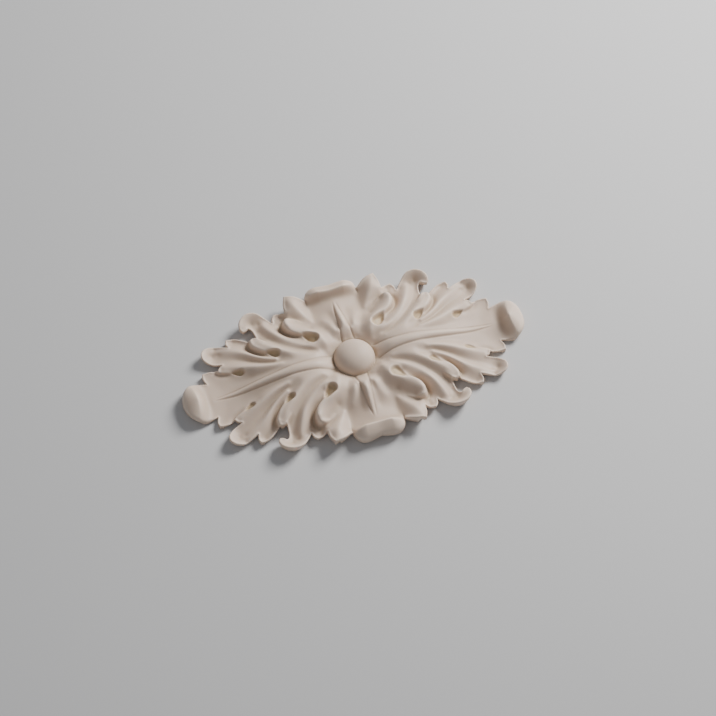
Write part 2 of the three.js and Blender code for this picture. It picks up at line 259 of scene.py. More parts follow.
@dataclass(frozen=True)
class Sheet:
    """The carver's squared sheet of one quarter, and the real sizes that it stands for."""

    squares_long: float = 178.0
    squares_short: float = 92.0
    squares_high: float = 26.0
    half_length: float = 0.150
    half_width: float = 0.0775
    leaf_height: float = 0.0219

    @property
    def scale(self) -> Array:
        """Metres to a square along X, Y and Z."""
        sizes = np.array((self.half_length, self.half_width, self.leaf_height))
        return sizes / (self.squares_long, self.squares_short, self.squares_high)


@dataclass
class LeafEdge:
    """The leaf edge of a quarter, in stretches that follow one another."""

    stretches: dict[str, Line] = field(default_factory=lambda: dict(LEAF_EDGE))
    spacing: float = 0.85

    def quarter(self) -> Array:
        """Run one line through all the stretches.

        Returns:
            Points of the whole quarter edge, both ends included.
        """
        stretches = list(self.stretches.values())
        pieces = [smooth_line(points, self.spacing)[:-1] for points in stretches]
        return np.vstack([*pieces, np.array(stretches[-1][-1:], float)])


@dataclass(frozen=True)
class Curl:
    """A rolled leaf end: the leaf scoops up to a lip, and a dome falls beyond it.

    Attributes:
        foot: Where along the leaf the scoop starts.
        lip: Where the lip is in the leaf's middle.
        lean: How the lip bends outwards with the square of the distance from there.
        side: Half the width of the rolled end.
        full_half: Half the width over which the dome keeps its height.
        reach: How far the dome falls beyond the lip.
        side_reach: How far it falls sideways.
        low: Height of the dome's edge.
        rise: Height of the dome above its edge.
        crisp: How far down its curve the dome starts, which makes the lip sharp.
        lateness: How late the scoop climbs.
        dip: Depth of the dip in the middle of the lip.
        dip_half: Half the width of that dip.
        fullness: How square the dome is, where 2 is round.
        side_slope: Half the width over which the rolled end stops at its side.
    """

    foot: float
    lip: float
    lean: float
    side: float
    full_half: float
    reach: float
    side_reach: float
    low: float
    rise: float
    crisp: float
    lateness: float
    dip: float = 0.0
    dip_half: float = 8.0
    fullness: float = 2.2
    side_slope: float = 0.8

    def over(self, leaf: Array, along: Array, off: Array) -> Array:
        """Lay the rolled end over the leaf.

        Args:
            leaf: Height of the leaf alone.
            along: Place along the leaf.
            off: Distance off the leaf's middle line.

        Returns:
            Height of the leaf with its rolled end.
        """
        lip = self.lip + self.lean * off**2
        past = np.maximum(0, along - lip) / self.reach
        beside = np.maximum(0, off - self.full_half) / self.side_reach
        fall = self.crisp + (1 - self.crisp) * np.minimum(1, np.hypot(past, beside))
        rise = self.rise - self.dip * np.exp(-((off / self.dip_half) ** 2))
        dome = self.low + rise * np.sqrt(1 - fall**self.fullness)
        climb = np.clip((along - self.foot) / (lip - self.foot), 0, 1) ** self.lateness
        share = smooth(climb, 0, 1)
        share *= 1 - smooth(off, self.side - self.side_slope, self.side + self.side_slope)
        return leaf + (dome - leaf) * share


@dataclass(frozen=True)
class Eye:
    """A drilled, teardrop-shaped eye between two lobes.

    Attributes:
        x: Place of its deepest point along the long leaf.
        y: Its place along the short leaf.
        head: Length from there to the round end.
        tail: Length from there to the pointed end.
        wide: Half its width.
        heading: Degrees from the long leaf's direction to the tail's.
        depth: How deep it is.
        taper: Share of the width that is lost by the end of the tail.
        bottom: Share of the eye that is its level bottom.
    """

    x: float
    y: float
    head: float
    tail: float
    wide: float
    heading: float
    depth: float
    taper: float = 0.55
    bottom: float = 0.35

    def share(self, x: Array, y: Array) -> Array:
        """Tell where the eye is.

        Args:
            x: Places along the long leaf.
            y: The same places along the short leaf.

        Returns:
            Share of the eye's depth at each place, from 0 outside to 1 at its bottom.
        """
        turn = math.radians(self.heading)
        along = (x - self.x) * math.cos(turn) + (y - self.y) * math.sin(turn)
        across = (y - self.y) * math.cos(turn) - (x - self.x) * math.sin(turn)
        length = np.where(along > 0, self.tail, self.head)
        narrowed = 1 - self.taper * np.clip(along / self.tail, 0, 1)
        width = self.wide * np.where(along > 0, narrowed, 1)
        return 1 - smooth(np.hypot(along / length, across / width), self.bottom, 1.0)


@dataclass(frozen=True)
class Overlap:
    """The edge of a lobe that stands over the leaf beside it, drawn with the lobe on its left.

    Attributes:
        line: Points of the edge, each a place and the height of the step there.
        reach: How far to both sides the step is felt.
        sharpness: Half the width of the step itself.
        spacing: Distance between the line's points once it is smooth.
    """

    line: tuple[tuple[float, float, float], ...]
    reach: float = 3.6
    sharpness: float = 0.8
    spacing: float = 1.5

    def relief(self, x: Array, y: Array) -> Array:
        """Tell how the step changes the leaf.

        Args:
            x: Places along the long leaf.
            y: The same places along the short leaf.

        Returns:
            Height added at each place: up on the lobe, down beside it.
        """
        marks = smooth_line(list(self.line), self.spacing)
        nearest = np.full(x.shape, np.inf)
        signed = np.zeros(x.shape)
        step = np.zeros(x.shape)
        for start, end in zip(marks, marks[1:]):
            run_x, run_y = end[0] - start[0], end[1] - start[1]
            gap_x, gap_y = x - start[0], y - start[1]
            run = math.hypot(run_x, run_y)
            t = np.clip((gap_x * run_x + gap_y * run_y) / run**2, 0, 1)
            away = np.hypot(gap_x - t * run_x, gap_y - t * run_y)
            side = (gap_y * run_x - gap_x * run_y) / run
            nearer = away < nearest
            nearest = np.where(nearer, away, nearest)
            signed = np.where(nearer, np.copysign(away, side), signed)
            step = np.where(nearer, start[2] + (end[2] - start[2]) * t, step)
        return step * np.tanh(signed / self.sharpness) * np.exp(-((signed / self.reach) ** 2))


@dataclass(frozen=True)
class Midrib:
    """A raised rib along the middle of a leaf, creased at both sides.

    Attributes:
        edge: Places along the leaf, each with half the rib's width there.
        height: Height of the rib where it is wide.
        steepness: Height of the rib to half its width where it is narrow.
        crease: Depth of the crease beside it.
        crease_width: Width of that crease.
        start_run: Length over which the rib starts.
        end_run: Length over which it runs out.
    """

    edge: tuple[tuple[float, float], ...]
    height: float = 1.7
    steepness: float = 0.34
    crease: float = 0.5
    crease_width: float = 0.8
    start_run: float = 4.0
    end_run: float = 12.0

    def relief(self, along: Array, off: Array) -> Array:
        """Tell how the rib and its creases change the leaf.

        Args:
            along: Places along the leaf.
            off: Distances off its middle line.

        Returns:
            Height added at each place.
        """
        marks = np.array(self.edge)
        half = np.interp(along, marks[:, 0], marks[:, 1])
        height = np.minimum(self.height, self.steepness * half)
        crown = np.clip(1 - (off / half) ** 2, 0, 1) * height
        crease = self.crease * np.exp(-(((off - half) / self.crease_width) ** 2))
        start, end = marks[0, 0], marks[-1, 0]
        ends = smooth(along, start, start + self.start_run)
        ends *= 1 - smooth(along, end - self.end_run, end)
        return (crown - crease) * ends


@dataclass(frozen=True)
class Button:
    """The domed button in its groove, in metres.

    Attributes:
        radius: Its radius.
        top: Height of its top over the back.
        seat: Height of its edge.
        groove_width: Width of the groove.
        groove_depth: Depth of the groove.
        spread: How broad the dome's crown is, where 2 is round.
        fall: How it falls at its edge, where 0.5 is round.
        clear: Distance over which the leaves' sharpening sets in.
    """

    radius: float = 0.0173
    top: float = 0.0230
    seat: float = 0.0117
    groove_width: float = 0.0012
    groove_depth: float = 0.0008
    spread: float = 2.2
    fall: float = 0.62
    clear: float = 0.004

    def dome(self, radius: Array) -> Array:
        """Shape the dome.

        Args:
            radius: Distances from its middle.

        Returns:
            Height of the dome at each distance.
        """
        share = np.clip(radius / self.radius, 0, 1)
        return self.seat + (self.top - self.seat) * (1 - share**self.spread) ** self.fall


@dataclass
class Carving:
    """The carved face of a quarter: crests and troughs, midribs, eyes, curls and the button.

    The leaves' surface runs smoothly through every crest and trough. It is a sum of cone-like
    hats, one over each sample of the strokes, that are weighted so that the sum meets them all.

    Attributes:
        overlaps: The edges of the lobes that stand over their neighbours.
        spacing: Distance between a stroke's samples.
        nearest_pair: Samples nearer than this to another are left out.
        hat_width: Width of a hat's round tip.
        slack: How far the surface may pass beside a sample so as to stay smooth.
        thinnest: Least height of the face.
        strokes: The crests and troughs.
    """

    sheet: Sheet = field(default_factory=Sheet)
    button: Button = field(default_factory=Button)
    long_curl: Curl = Curl(
        foot=148, lip=163.2, lean=0.01, side=60, full_half=0, reach=15.4, side_reach=22.8,
        low=5.2, rise=13.2, crisp=0.46, lateness=1.6,
    )
    short_curl: Curl = Curl(
        foot=65, lip=80, lean=0.003, side=27, full_half=13, reach=12.5, side_reach=14,
        low=4.6, rise=16.4, crisp=0.4, lateness=2.4, dip=0.9,
    )
    long_rib: Midrib = Midrib(
        ((20, 8.4), (30, 7), (42, 5.9), (60, 5.1), (100, 3.9), (125, 2.6), (149, 0.5))
    )
    short_rib: Midrib = Midrib(((18, 6.8), (30, 5.4), (45, 4.1), (58, 2.8), (71, 1)))
    eyes: tuple[Eye, ...] = (
        Eye(x=113, y=19.6, head=5, tail=11, wide=4, heading=20, depth=2.7),
        Eye(x=74, y=26.2, head=5.6, tail=12, wide=4.8, heading=32, depth=3.2),
        Eye(x=33.4, y=30.4, head=7, tail=15, wide=7, heading=42, depth=4.1),
    )
    overlaps: tuple[Overlap, ...] = (
        Overlap(((119, 21, 0), (126, 23.4, 0.9), (132.6, 26.4, 1.1), (135.4, 30, 0.8))),
        Overlap(((80, 29, 0), (86.6, 33, 1.2), (92, 38.4, 2), (95.2, 44.4, 2.2), (94.4, 51, 1.6))),
        Overlap(((87, 52.6, 1.4), (83, 48, 1.2), (77.6, 42.6, 0))),
        Overlap(
            (
                (39, 35.4, 0), (46, 39.4, 1.4), (52.6, 44.2, 2.4), (56.8, 50.4, 3), (57.6, 56.6, 3),
                (55.4, 61.8, 2.4), (50, 62.8, 1.4), (43, 60.4, 0.8), (36, 55, 0),
            )
        ),
    )
    spacing: float = 2.0
    nearest_pair: float = 1.2
    hat_width: float = 1.4
    slack: float = 0.3
    thinnest: float = 3.0
    strokes: dict[str, Line] = field(default_factory=lambda: dict(STROKES))

    def __post_init__(self) -> None:
        """Weigh the hats so that the surface meets every sample."""
        self.places = self._samples()
        count = len(self.places)
        system = np.ones((count + 1, count + 1))
        system[:count, :count] = self._hats(self.places[:, 0], self.places[:, 1])
        system[:count, :count] -= self.slack * np.eye(count)
        system[count, count] = 0.0
        self.weights = np.linalg.solve(system, np.append(self.places[:, 2], 0.0))

    def _samples(self) -> Array:
        """Take evenly spaced points along every stroke, without near doubles."""
        kept: list[Array] = []
        for stroke in self.strokes.values():
            for sample in smooth_line(stroke, self.spacing):
                gaps = [math.hypot(sample[0] - other[0], sample[1] - other[1]) for other in kept]
                if not gaps or min(gaps) > self.nearest_pair:
                    kept.append(sample)
        return np.array(kept)

    def _hats(self, x: Array, y: Array) -> Array:
        """Give the height of each sample's hats, mirror images included, in a column of its own."""
        total = np.zeros((len(x), len(self.places)))
        for quarter in Quarter:
            gap_x = x[:, None] - quarter.value[0] * self.places[None, :, 0]
            gap_y = y[:, None] - quarter.value[1] * self.places[None, :, 1]
            total += np.sqrt(gap_x**2 + gap_y**2 + self.hat_width**2)
        return total

    def face(self, x: Array, y: Array) -> Array:
        """Carve the whole face.

        Args:
            x: Places along the long leaf.
            y: The same places along the short leaf.

        Returns:
            Height of the face at each place.
        """
        height = self._hats(x, y) @ self.weights[:-1] + self.weights[-1]
        height = self.short_curl.over(height, y, x)
        height = self.long_curl.over(height, x, y)
        height += self.long_rib.relief(x, y)
        height += self.short_rib.relief(y, x)
        for overlap in self.overlaps:
            height += overlap.relief(x, y)
        for eye in self.eyes:
            height -= eye.depth * eye.share(x, y)
        scale = self.sheet.scale
        radius = np.hypot(x * scale[0], y * scale[1])
        button = self.button
        groove = 1 - smooth(radius, button.radius, button.radius + button.groove_width)
        height -= groove * button.groove_depth / scale[2]
        height = np.maximum(height, self.thinnest)
        return np.where(radius < button.radius, button.dome(radius) / scale[2], height)


@dataclass
class Rosette:
    """The whole casting as one closed mesh, in squares of the sheet where not in metres.

    Attributes:
        step: Distance between the face's points.
        edge_clear: Share of a step that they keep clear of the edge.
        rim_radius: Radius of the leaves' rims.
        curl_radius: What the rolled ends' rims have on top of that.
        upturn: How far the leaves' edges turn up.
        upturn_reach: Width over which they do.
        draw_in: How far the walls draw in by the back.
        curl_tuck: What they draw in on top of that under the rolled ends.
        tightest: Nearest that a foot comes to the edge, as a share of its draw-in.
        draw_in_tries: How often a draw-in that is too tight is eased.
        easing: What each such try leaves of it.
        cross_margin: Share of a segment by which crossings are seen early.
        roundness: How late the walls draw in on their way down.
        leaf_thickness: Thickness of the tips that are clear of the ground.
        lift_share: Shares of draw-in lost at which feet start to lift, and are lifted in full.
        corner_span: Points to each side that a point of the edge is judged with.
        wall_rows: Share of the way down at each row of the walls.
        long_roll: Where the long rolled end begins and is whole.
        short_roll: The same for the short one.
        short_roll_side: Where the short one starts to stop at its side, and is gone.
        levelling_rounds: How often heights are evened out to find what stands proud.
        relief_depth: Metres by which a point that is proud or hollow in full stands out.
        sharpness: Share of their relief that ridges and grooves gain.
        face_height: Heights in metres at which the walls end and the face is whole.
        face_slope: The same for the upright part of the surface's direction.
        filled_eyes: The quarters whose eyes are filled in part, with each eye's share.
    """

    edge: LeafEdge = field(default_factory=LeafEdge)
    carving: Carving = field(default_factory=Carving)
    step: float = 0.78
    edge_clear: float = 0.45
    rim_radius: float = 0.9
    curl_radius: float = 1.6
    upturn: float = 0.7
    upturn_reach: float = 1.7
    draw_in: float = 4.2
    curl_tuck: float = 2.2
    tightest: float = 0.85
    draw_in_tries: int = 16
    easing: float = 0.8
    cross_margin: float = 0.1
    roundness: float = 1.9
    leaf_thickness: float = 4.6
    lift_share: Span = (0.15, 0.7)
    corner_span: int = 5
    wall_rows: tuple[float, ...] = (0.18, 0.4, 0.62, 0.82, 0.94, 1.0)
    long_roll: Span = (150, 158)
    short_roll: Span = (80, 86)
    short_roll_side: Span = (20, 26)
    levelling_rounds: int = 60
    relief_depth: float = 0.0015
    sharpness: float = 0.35
    face_height: Span = (0.002, 0.005)
    face_slope: Span = (0.15, 0.5)
    filled_eyes: tuple[tuple[Quarter, tuple[float, ...]], ...] = (
        (Quarter.RIGHT_FRONT, (0.7, 0.7, 0.5)),
        (Quarter.LEFT_FRONT, (0.4, 0.25, 0.0)),
    )

    def build(self) -> Object:
        """Build the rosette, in metres, with the masks of its painted shade and highlight."""
        points, faces = self._four(*self._quarter())
        mesh = bpy.data.meshes.new("rosette_casting")
        mesh.from_pydata(points.tolist(), [], faces.tolist())
        mesh.validate()
        mesh.update()
        mesh.shade_smooth()
        piece = bpy.data.objects.new("rosette_casting", mesh)
        bpy.context.scene.collection.objects.link(piece)
        self._sharpen(mesh)
        self._fill_eyes(mesh)
        self._mask(mesh)
        LOG.info("%s: %d points, %d faces", piece.name, len(points), len(faces))
        return piece

    def _quarter(self) -> tuple[Array, Array]:
        """Mesh one quarter: carved face, walls down from the leaf edge, and flat back.

        Returns:
            Points in metres and triangles.
        """
        edge = self.edge.quarter()
        ring = self._ring(edge)
        plan, face, sources = fill_loop(np.vstack([ring, self._filling(ring)]), len(ring))
        top = np.column_stack([plan, self._face_height(plan, edge)])
        made_from = {source: i for i, named in enumerate(sources) for source in named}
        upper = np.array([made_from[i] for i in range(len(edge))])
        crest = top[upper, 2]
        draw_in = self._draw_in(edge)
        lift = self._lift(edge, draw_in, crest)
        points = [top]
        faces = [face]
        total = len(top)
        # Row after row, the walls go down and draw in.
        for row in self.wall_rows:
            foot = edge + draw_in * row**self.roundness
            points.append(np.column_stack([foot, crest + (lift - crest) * row]))
            lower = np.arange(total, total + len(edge))
            faces.append(np.column_stack([upper[:-1], lower[:-1], lower[1:]]))
            faces.append(np.column_stack([upper[:-1], lower[1:], upper[1:]]))
            upper = lower
            total += len(edge)
        # The back runs from the lowest row to the point under the button.
        points.append(np.zeros((1, 3)))
        back_plan = np.vstack([edge + draw_in, [[0, 0]]])
        _, back, sources = fill_loop(back_plan, len(back_plan))
        names = np.append(upper, total)[[named[0] for named in sources]]
        faces.append(names[back][:, ::-1])
        return np.vstack(points) * self.carving.sheet.scale, np.vstack(faces)

    def _ring(self, edge: Array) -> Array:
        """Close the leaf edge along both middle lines.

        Args:
            edge: The leaf edge's points.

        Returns:
            The quarter's closed edge, with the leaf edge first.
        """
        side_count = math.ceil(edge[-1, 1] / self.step)
        base_count = math.ceil(edge[0, 0] / self.step)
        down = edge[-1, 1] * (1 - np.arange(1, side_count) / side_count)
        out = np.arange(base_count) / base_count * edge[0, 0]
        side = np.column_stack([np.zeros(len(down)), down])
        base = np.column_stack([out, np.zeros(len(out))])
        return np.vstack([edge, side, base])

    def _filling(self, ring: Array) -> Array:
        """Fill the quarter evenly with points, clear of its edge.

        Args:
            ring: The quarter's closed edge.

        Returns:
            The points inside it.
        """
        rise = self.step * math.sqrt(3) / 2
        rows = []
        for j in range(1, math.ceil(ring[:, 1].max() / rise)):
            shift = self.step / 2 if j % 2 else 0.0
            xs = np.arange(self.step + shift, ring[:, 0].max(), self.step)
            rows.append(np.column_stack([xs, np.full(len(xs), j * rise)]))
        grid = np.vstack(rows)
        inside = np.zeros(len(grid), bool)
        for (ax, ay), (bx, by) in zip(ring, np.roll(ring, -1, axis=0)):
            crosses = (ay > grid[:, 1]) != (by > grid[:, 1])
            if ay != by:
                meets = ax + (grid[:, 1] - ay) * (bx - ax) / (by - ay)
                inside ^= crosses & (grid[:, 0] < meets)
        grid = grid[inside]
        closed = np.vstack([ring, ring[:1]])
        return grid[self._distance(grid, closed) > self.step * self.edge_clear]

    def _face_height(self, plan: Array, edge: Array) -> Array:
        """Carve the face, turn the leaves' edges up and round the rims.

        Args:
            plan: The face's points.
            edge: The leaf edge's points.

        Returns:
            Height of each point of the face.
        """
        away = self._distance(plan, edge)
        rolled = self._rolled(plan)
        height = self.carving.face(plan[:, 0], plan[:, 1])
        height += (1 - rolled) * self.upturn * np.exp(-((away / self.upturn_reach) ** 2))
        radius = self.rim_radius + self.curl_radius * rolled
        sunk = np.clip(radius - away, 0, radius)
        return height - (radius - np.sqrt(radius**2 - sunk**2))

    def _distance(self, places: Array, line: Array) -> Array:
        """Measure the distance from each place to a line of points."""
        nearest = np.full(len(places), np.inf)
        for start, end in zip(line, line[1:]):
            run = end - start
            t = np.clip(((places - start) @ run) / (run @ run), 0, 1)
            gap = places - start - t[:, None] * run
            nearest = np.minimum(nearest, np.hypot(gap[:, 0], gap[:, 1]))
        return nearest

    def _rolled(self, places: Array) -> Array:
        """Tell how much each place belongs to a rolled leaf end, from 0 to 1."""
        long_end = smooth(places[:, 0], *self.long_roll)
        short_end = smooth(places[:, 1], *self.short_roll)
        return np.maximum(long_end, short_end * (1 - smooth(places[:, 0], *self.short_roll_side)))

    def _wanted(self, edge: Array) -> Array:
        """Tell how far each point of the leaf edge draws in where there is room."""
        return self.draw_in + self.curl_tuck * self._rolled(edge)

    def _windows(self, values: Array) -> Array:
        """Give each value along the leaf edge with its neighbours, mirrored past the ends."""
        span = self.corner_span
        padded = np.concatenate([values[span:0:-1], values, values[-2 : -span - 2 : -1]])
        return np.lib.stride_tricks.sliding_window_view(padded, 2 * span + 1)

    def _draw_in(self, edge: Array) -> Array:
        """Draw the leaf edge in, most under the rolled ends and least where a point is narrow.

        Args:
            edge: The leaf edge's points.

        Returns:
            The step from each point to its foot on the back.
        """
        span = self.corner_span
        before = edge[span:0:-1] * [1, -1]
        after = edge[-2 : -span - 2 : -1] * [-1, 1]
        whole = np.vstack([before, edge, after])
        along = whole[2 * span :] - whole[: -2 * span]
        inward = np.column_stack([-along[:, 1], along[:, 0]])
        inward /= np.linalg.norm(inward, axis=1)[:, None]
        reach = self._wanted(edge)
        for _ in range(self.draw_in_tries):
            foot = edge + inward * reach[:, None]
            tight = self._distance(foot, whole) < self.tightest * reach
            tight |= self._crossed(foot)
            if not tight.any():
                break
            reach = np.where(self._windows(tight).any(axis=1), self.easing * reach, reach)
        return inward * reach[:, None]

    def _lift(self, edge: Array, draw_in: Array, crest: Array) -> Array:
        """Lift the feet clear of the ground where a tip is too narrow to draw in.

        Args:
            edge: The leaf edge's points.
            draw_in: The step from each point to its foot.
            crest: Height of the edge at each point.

        Returns:
            Height of each foot.
        """
        lost = 1 - np.hypot(draw_in[:, 0], draw_in[:, 1]) / self._wanted(edge)
        share = smooth(self._windows(lost).mean(axis=1), *self.lift_share)
        return share * np.maximum(0, crest - self.leaf_thickness)

    def _crossed(self, line: Array) -> Array:
        """Find the points of a line whose segments cross another of its segments."""
        start, run = line[:-1], np.diff(line, axis=0)
        gap = start[None] - start[:, None]
        turn = run[:, None, 0] * run[None, :, 1] - run[:, None, 1] * run[None, :, 0]
        turn = np.where(np.abs(turn) < PARALLEL, PARALLEL, turn)
        t = (gap[..., 0] * run[None, :, 1] - gap[..., 1] * run[None, :, 0]) / turn
        u = (gap[..., 0] * run[:, None, 1] - gap[..., 1] * run[:, None, 0]) / turn
        order = np.arange(len(start))
        crossed = np.abs(order[:, None] - order[None]) > 1
        for share in (t, u):
            crossed &= (share > -self.cross_margin) & (share < 1 + self.cross_margin)
        ends = crossed.any(axis=1)
        return np.append(ends, False) | np.append(False, ends)

    def _four(self, points: Array, faces: Array) -> tuple[Array, Array]:
        """Mirror the quarter into the whole, and join it along both middle lines.

        Args:
            points: The quarter's points.
            faces: The quarter's triangles.

        Returns:
            The whole rosette's points and triangles.
        """
        every_point = []
        every_face = []
        for number, quarter in enumerate(Quarter):
            every_point.append(points * [*quarter.value, 1])
            turned = faces[:, ::-1] if quarter.flips else faces
            every_face.append(turned + number * len(points))
        # Adding zero turns minus zero into zero, so that both count as one place.
        stacked = np.round(np.vstack(every_point), JOIN_DECIMALS) + 0.0
        kept, where = np.unique(stacked, axis=0, return_inverse=True)
        joined = where.reshape(-1)[np.vstack(every_face)]
        whole = (joined != np.roll(joined, 1, axis=1)).all(axis=1)
        return kept, joined[whole]

    def _places(self, mesh: Mesh) -> Array:
        """Read the mesh's points, one to a row."""
        places = np.zeros(len(mesh.vertices) * 3)
        mesh.vertices.foreach_get("co", places)
        return places.reshape(-1, 3)

    def _move(self, mesh: Mesh, places: Array) -> None:
        """Move the mesh's points."""
        mesh.vertices.foreach_set("co", places.ravel())
        mesh.update()

    def _on_face(self, mesh: Mesh, places: Array) -> Array:
        """Tell how much each point lies on the carved face rather than on the walls or the back."""
        normals = np.zeros(len(places) * 3)
        mesh.vertices.foreach_get("normal", normals)
        return smooth(places[:, 2], *self.face_height) * smooth(normals[2::3], *self.face_slope)

    def _relief(self, mesh: Mesh, level: Array) -> Array:
        """Tell how far each point stands proud of what lies round it.

        Args:
            mesh: The rosette's mesh.
            level: Height of each of its points.

        Returns:
            Height of each point over its surroundings, below zero in a hollow.
        """
        pairs = np.zeros(len(mesh.edges) * 2, int)
        mesh.edges.foreach_get("vertices", pairs)
        start, end = pairs.reshape(-1, 2).T
        count = len(level)
        degree = np.bincount(pairs, minlength=count)
        even = level
        for _ in range(self.levelling_rounds):
            spread = np.bincount(start, even[end], count) + np.bincount(end, even[start], count)
            even = (even + spread / degree) / 2
        return level - even

    def _sharpen(self, mesh: Mesh) -> None:
        """Stand the leaves' ridges up a little from what lies round them, and sink the grooves."""
        places = self._places(mesh)
        button = self.carving.button
        radius = np.hypot(places[:, 0], places[:, 1])
        clear = smooth(radius, button.radius, button.radius + button.clear)
        rolled = self._rolled(np.abs(places / self.carving.sheet.scale))
        relief = np.clip(self._relief(mesh, places[:, 2]), -self.relief_depth, self.relief_depth)
        places[:, 2] += self.sharpness * clear * self._on_face(mesh, places) * (1 - rolled) * relief
        self._move(mesh, places)

    def _fill_eyes(self, mesh: Mesh) -> None:
        """Fill the front quarters' eyes in part, as the plaster does in the photograph."""
        places = self._places(mesh)
        scale = self.carving.sheet.scale
        sheet = places / scale
        for quarter, shares in self.filled_eyes:
            x, y = (sheet[:, :2] * quarter.value).T
            inside = (x > 0) & (y > 0) & (sheet[:, 2] > 0)
            for eye, share in zip(self.carving.eyes, shares):
                fill = share * eye.depth * scale[2] * eye.share(x, y)
                places[:, 2] += np.where(inside, fill, 0)
        self._move(mesh, places)

    def _mask(self, mesh: Mesh) -> None:
        """Write how hollow, how proud and how deep in an eye each point lies, for the painted shade
        in hollows and eyes and the painted highlight on ridges.
        """
        places = self._places(mesh)
        relief = self._relief(mesh, places[:, 2]) / self.relief_depth
        on_face = self._on_face(mesh, places)
        x, y, _ = np.abs(places / self.carving.sheet.scale).T
        masks = {
            # Painted shade: the face is coloured darker and yellower where it lies lower than the
            # surface round it.
            "hollow_shade": on_face * np.clip(-relief, 0, 1),
            # Painted highlight: ridges and edges that stand proud are coloured lighter.
            "proud_highlight": np.clip(relief, 0, 1),
            # Painted shade: the eyes are coloured a dark ochre towards their bottoms.
            "eye": on_face * np.max([eye.share(x, y) for eye in self.carving.eyes], axis=0),
        }
        for name, mask in masks.items():
            layer = mesh.attributes.new(name, "FLOAT", "POINT")
            layer.data.foreach_set("value", mask.astype(np.float32))


class NodeBench:
    """A short way to add and wire the nodes of one tree."""

    def __init__(self, tree: NodeTree) -> None:
        """Take the nodes' tree."""
        self.tree = tree

    def add(self, kind: str, **settings: object) -> Node:
        """Add a node of a kind, with its settings."""
        node = self.tree.nodes.new(kind)
        for name, value in settings.items():
            setattr(node, name, value)
        return node

    def wire(self, source: NodeSocket, target: NodeSocket) -> None:
        """Join an output to an input."""
        self.tree.links.new(source, target)

    def set(self, node: Node, values: dict[str, object]) -> None:
        """Set some of a node's inputs by name."""
        for name, value in values.items():
            node.inputs[name].default_value = value

    def grain(self, group: NodeTree, scale: float) -> NodeSocket:
        """Add the shared grain at a scale, and give its height."""
        node = self.add("ShaderNodeGroup", node_tree=group)
        self.set(node, {"Scale": scale})
        return node.outputs["Height"]

    def roughen(self, shader: Node, height: NodeSocket, strength: float, depth: float) -> None:
        """Bump a shader's surface by a height, over a depth in metres."""
        bump = self.add("ShaderNodeBump")
        self.set(bump, {"Strength": strength, "Distance": depth})
        self.wire(height, bump.inputs["Height"])
        self.wire(bump.outputs["Normal"], shader.inputs["Normal"])


@dataclass(frozen=True)
class FineGrain:
    """Fine grain, shared by the finishes: a height that changes over the surface."""

    detail: float = 4.0
    roughness: float = 0.6

    def group(self) -> NodeTree:
        """Build the node group, which takes a scale and gives a height."""
        group = bpy.data.node_groups.new("fine grain", "ShaderNodeTree")
        group.interface.new_socket("Scale", in_out="INPUT", socket_type="NodeSocketFloat")
        group.interface.new_socket("Height", in_out="OUTPUT", socket_type="NodeSocketFloat")
        bench = NodeBench(group)
        entry = bench.add("NodeGroupInput")
        place = bench.add("ShaderNodeTexCoord")
        noise = bench.add("ShaderNodeTexNoise")
        bench.set(noise, {"Detail": self.detail, "Roughness": self.roughness})
        out = bench.add("NodeGroupOutput")
        bench.wire(place.outputs["Object"], noise.inputs["Vector"])
        bench.wire(entry.outputs["Scale"], noise.inputs["Scale"])
        bench.wire(noise.outputs["Fac"], out.inputs["Height"])
        return group


